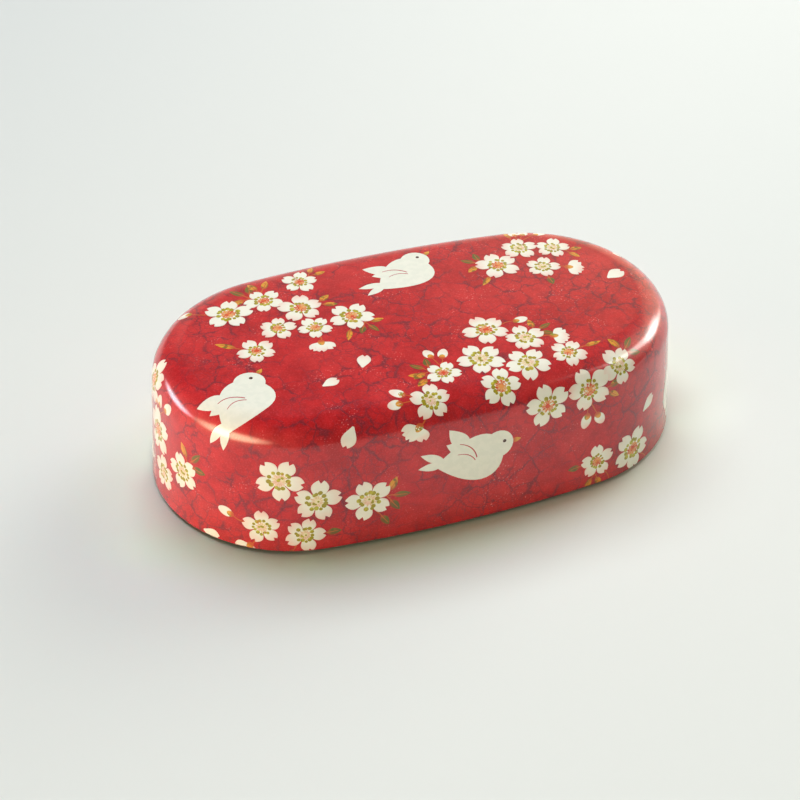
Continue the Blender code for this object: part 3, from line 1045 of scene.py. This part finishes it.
def ink(name, base, *layers):
    """Even, glossy ink. Each layer is (colour, source, from, to)."""
    made, tree, shader, sources = new_ink(name, 2, 2)
    colour = base
    fill(shader, {"Base Color": base})
    for shade, source, low, high in layers:
        colour = turning(tree, colour, shade, sources[source], low, high)
        fill(shader, {"Base Color": colour})
    return made


def petal_ink():
    """Ivory ink, flushed with pink towards the tips of some petals and thin at the edges."""
    made, tree, shader, sources = new_ink("ivory_petal_ink", 3, 3)
    tip = add_node(tree, RANGE, EASED, (sources["y"], 0.35, 1.05, 0, 0.9))
    uneven = add_node(tree, RANGE, EASED, (sources["cloud"], 0.25, 0.7, 0.45, 1))
    for factor in (sources["flush"], uneven):
        tip = add_node(tree, MATH, PRODUCT, (tip, factor))
    colour = add_node(tree, MIX, COLOURS, {0: tip, 6: "#F2EFE0", 7: "#F0B3A4"}).outputs[2]
    side = add_node(tree, MATH, {"operation": "SUBTRACT"}, (sources["x"], 0.5))
    side = add_node(tree, MATH, {"operation": "ABSOLUTE"}, (side,))
    fill(shader, {"Base Color": turning(tree, colour, "#E9C3AE", side, 0.36, 0.5, 0, 0.35)})
    return made


def moulded_plastic(name, colours, roughness, grain_mm, strength, more=()):
    """Moulded plastic: one colour through its mass, hardly clouded, with the mould's fine
    texture, and more inputs of the shader where it has them."""
    made, tree, shader = new_finish(name)
    place = add_node(tree, "ShaderNodeTexCoord").outputs["Object"]
    cloud, grain = (
        add_node(tree, NOISE, None, {"Vector": place, "Scale": 1 / (size_mm * MM), "Detail": detail})
        for size_mm, detail in ((30, 2), (grain_mm, 3))
    )
    tone = turning(tree, *colours, cloud, 0.3, 0.7)
    inputs = {"Height": grain, "Strength": strength, "Distance": 0.05 * MM}
    bump = add_node(tree, "ShaderNodeBump", None, inputs)
    fill(shader, {"Base Color": tone, "Roughness": roughness, "IOR": 1.5, "Normal": bump})
    fill(shader, more)
    return made


GROUND = crumpled_paper_print()
PETAL = petal_ink()
ANTHER = ink("olive_ink", "#A0921F", ("#C0B93A", "cloud", 0.48, 0.6), ("#B98A28", "cloud", 0.6, 0.7))
FILAMENT = ink("tan_ink", "#DDB98C")
HEART = ink("orange_ink", "#D8492A", ("#E79A52", "cloud", 0.42, 0.62))
PALE_HEART = ink("cream_ink", "#EFE0B4", ("#F0CBB4", "cloud", 0.42, 0.6))
LEAF = ink("leaf_ink", "#66602C", ("#DE9A30", "flush", 0.3, 0.6), ("#7A6A28", "cloud", 0.5, 0.62),
           ("#B4502A", "y", 0.4, 0.0), ("#8A4A26", "x", 0.6, 1.0))
STEM = ink("stem_ink", "#C8602C")
CALYX = ink("calyx_ink", "#E0A03C", ("#C8572B", "y", 0.75, 0.2), ("#98912F", "cloud", 0.55, 0.65))
PLOVER = ink("white_plover_ink", "#EDEDDF", ("#E8E9DB", "cloud", 0.4, 0.6))
EYE = ink("dark_ink", "#4B2B22")
FOLD = ink("red_line_ink", "#B8323A")
# High-gloss ABS: near black, and mirrors softly
BLACK = moulded_plastic("black_gloss_abs", ("#0E0D0E", "#131214"), 0.16, 6, 0.05)
# Polypropylene: light goes a little way in, so it looks milky
MILKY = moulded_plastic("milky_polypropylene", ("#E6E6E0", "#DEDFDA"), 0.38, 0.8, 0.25, {
    "Subsurface Weight": 0.35, "Subsurface Radius": (1.0, 0.95, 0.85), "Subsurface Scale": 4 * MM})
# Silicone rubber: pale grey and dull
RUBBER = moulded_plastic("silicone_rubber", ("#CFCFCB", "#C8C9C4"), 0.5, 0.5, 0.2, {"IOR": 1.41})


# The object


def colour_cover(piece):
    """Print outside, bare black plastic inside and under the rim."""
    piece.data.materials.clear()
    piece.data.materials.append(GROUND)
    piece.data.materials.append(BLACK)
    centres = np.array([face.center for face in piece.data.polygons])
    places, _ = onto_cover(centres)
    inside = np.linalg.norm(places - centres, axis=1) > COVER_WALL / 6
    piece.data.polygons.foreach_set("material_index", inside.astype(np.int32))
    return piece


dress(colour_cover(make_cover()), None, "outer_cover", "printed_cover_abs", "outer_cover")
dress(make_tub(), BLACK, "tub", "black_abs", "box_body")
dress(make_inner_lid(), MILKY, "inner_lid", "milky_polypropylene", "inner_lid")
dress(make_seal(), RUBBER, "inner_lid", "silicone_rubber", "lid_seal")
dress(make_divider(), MILKY, "divider", "milky_polypropylene", "divider")
for kind, pieces in print_on_cover(random.Random(SEED)).items():
    finish_print(pieces, "printed_" + kind)


# Stage: floor, daylight and camera


def make_floor():
    """Pale table that fills the view, with painted shade that makes it duller far behind on the left.
    Painted shade also makes it a little duller round the box, a painted shadow makes it greener in
    front of it, and painted light makes it lighter in front of its right end."""
    bpy.ops.object.select_all(action="DESELECT")
    bpy.ops.mesh.primitive_plane_add(size=4)
    floor = named("floor")
    made, tree, shader = new_finish("pale_table")
    place = add_node(tree, "ShaderNodeTexCoord").outputs["Object"]
    axes = add_node(tree, "ShaderNodeSeparateXYZ", None, (place,)).outputs
    along = add_node(tree, VECTOR, DOT, (place, (1.0, -0.8, 0.0))).outputs["Value"]
    oval = add_node(tree, VECTOR, PRODUCT, (place, (2 / LENGTH, 2 / WIDTH, 0.0)))
    reach = add_node(tree, VECTOR, {"operation": "LENGTH"}, (oval,)).outputs["Value"]
    # Painted shade: the table turns duller far behind on the left, where the light falls off
    far = turning(tree, "#C8CCCB", "#E3E6E2", along, -0.6, 0.1)
    # Painted shadow in front of the box, greener on its left, and painted light, lighter in front of
    # its right end
    front = turning(tree, "#DCEFDB", "#ECF2EA", axes[0], -0.02, 0.05)
    # Painted shade: a little duller beside and behind the box, with the painted tone in front of it
    painted_shading_round_box = turning(tree, front, "#DFE5DC", axes[1], -0.035, -0.012)
    # The painted light and shade round the box fade out between 1.1 and 1.45 of the box's oval
    tone = turning(tree, far, painted_shading_round_box, reach, 1.1, 1.45, 1, 0)
    fill(shader, {"Base Color": tone, "Roughness": 0.8, "Specular IOR Level": 0.0})
    floor.data.materials.append(made)


def aim(azimuth, elevation):
    """Direction with azimuth 0 behind the box, 90 on its right, and elevation, in degrees."""
    a, e = radians(azimuth), radians(elevation)
    return Vector((sin(a) * cos(e), cos(a) * cos(e), sin(e)))


def add_window(use, name, azimuth, elevation, size, radiance, colour, tilt=0):
    """Rectangular lamp that faces the box from afar and fills an angle of size, wide and high.
    Its use is light, which the clear coat doesn't mirror, or highlight, which lights nothing. A
    highlight fades out towards an oval edge, as a window behind a blind does."""
    data = bpy.data.lights.new(name, "AREA")
    data.shape = "RECTANGLE"
    data.size, data.size_y = (2 * WINDOW_DISTANCE * math.tan(radians(a / 2)) for a in size)
    data.energy = pi * data.size * data.size_y * radiance
    data.color = linear(colour)[:3]
    lamp = bpy.data.objects.new(name, data)
    place = aim(azimuth, elevation) * WINDOW_DISTANCE
    turn = place.to_track_quat("Z", "Y").to_matrix().to_4x4()
    lean = Matrix.Rotation(radians(tilt), 4, "Z")
    lamp.matrix_world = Matrix.Translation(place) @ turn @ lean
    lamp.visible_glossy = use == "highlight"
    lamp.visible_diffuse = use == "light"
    if use == "highlight":
        data.use_nodes = True
        tree = data.node_tree
        spot = add_node(tree, "ShaderNodeNewGeometry").outputs["Parametric"]
        inputs = (spot, (0.5, 0.5, 0.0))
        off = add_node(tree, VECTOR, {"operation": "DISTANCE"}, inputs).outputs["Value"]
        glow = add_node(tree, RANGE, EASED, (off, 0.15, 0.5, 1, 0))
        fill(tree.nodes["Emission"], {"Strength": glow})
    bpy.context.scene.collection.objects.link(lamp)


def make_world():
    """Dark room with a pale wall behind the box, brighter and warmer towards the right."""
    world = bpy.data.worlds.new("room")
    bpy.context.scene.world = world
    world.use_nodes = True
    tree = world.node_tree
    place = add_node(tree, "ShaderNodeTexCoord").outputs["Generated"]
    axes = add_node(tree, "ShaderNodeSeparateXYZ", None, (place,)).outputs
    near = add_node(tree, VECTOR, DOT, (place, aim(95, 32))).outputs["Value"]
    low, back, wall, right, halo = (
        add_node(tree, RANGE, EASED, inputs)
        for inputs in (
            (axes[2], 0.50, 0.61, 1, 0),
            (axes[1], -0.10, 0.25),
            (axes[0], -0.30, 0.12, 0.06, 0.58),
            (axes[0], 0.26, 0.50),
            (near, cos(radians(30)), cos(radians(12)), 0, 1.1),
        )
    )
    level = right
    for settings, other in (
        (PRODUCT, 0.55), (SUM, wall), (PRODUCT, low), (PRODUCT, back), (SUM, halo), (SUM, ROOM_LIGHT),
    ):
        level = add_node(tree, MATH, settings, (level, other))
    tint = add_node(tree, MIX, COLOURS, {0: right, 6: "#FAF6E6", 7: "#FFF1CC"}).outputs[2]
    fill(tree.nodes["Background"], {"Strength": level, "Color": tint})


make_floor()
make_world()
add_window("highlight", "right_window", 81, 18, (32, 26), 11, "#FFFDF8")
add_window("highlight", "right_curtain", 95, 26, (90, 17), 10, "#FFF8F0", tilt=-34)
add_window("highlight", "lilac_window", -62, 12, (46, 15), 16, "#E4F6FF")
add_window("highlight", "cream_window", -114, 15, (70, 30), 13, "#FBFFCF")
add_window("light", "right_daylight", 62, 26, (26, 38), 4.7, "#FFFDF8")
add_window("light", "skylight", -2, 65, (44, 36), 5.7, "#F1F7FF")
add_window("light", "left_glow", -103, 3.2, (60, 6), 28, "#FFDFC3")
add_window("light", "near_fill", -165, 5, (60, 7.5), 3.3, "#E3FFE7")


def make_camera():
    """The photograph's viewpoint."""
    level = cos(ELEVATION)
    back = Vector((sin(AZIMUTH) * level, -cos(AZIMUTH) * level, sin(ELEVATION)))
    flat_right = Vector((0, 0, 1)).cross(back).normalized()
    flat_up = back.cross(flat_right)
    right = cos(ROLL) * flat_right + sin(ROLL) * flat_up
    up = cos(ROLL) * flat_up - sin(ROLL) * flat_right
    place = back * DISTANCE + right * AIM_RIGHT + up * AIM_UP + Vector((0, 0, RIM))
    data = bpy.data.cameras.new("camera")
    data.sensor_width = SENSOR
    data.lens = FOCAL_PIXELS * SENSOR / PICTURE
    camera = bpy.data.objects.new("camera", data)
    turn = Matrix((right, up, back)).transposed()
    camera.matrix_world = Matrix.Translation(place) @ turn.to_4x4()
    bpy.context.scene.collection.objects.link(camera)
    bpy.context.scene.camera = camera


make_camera()
bpy.context.scene.view_settings.view_transform = "Standard"
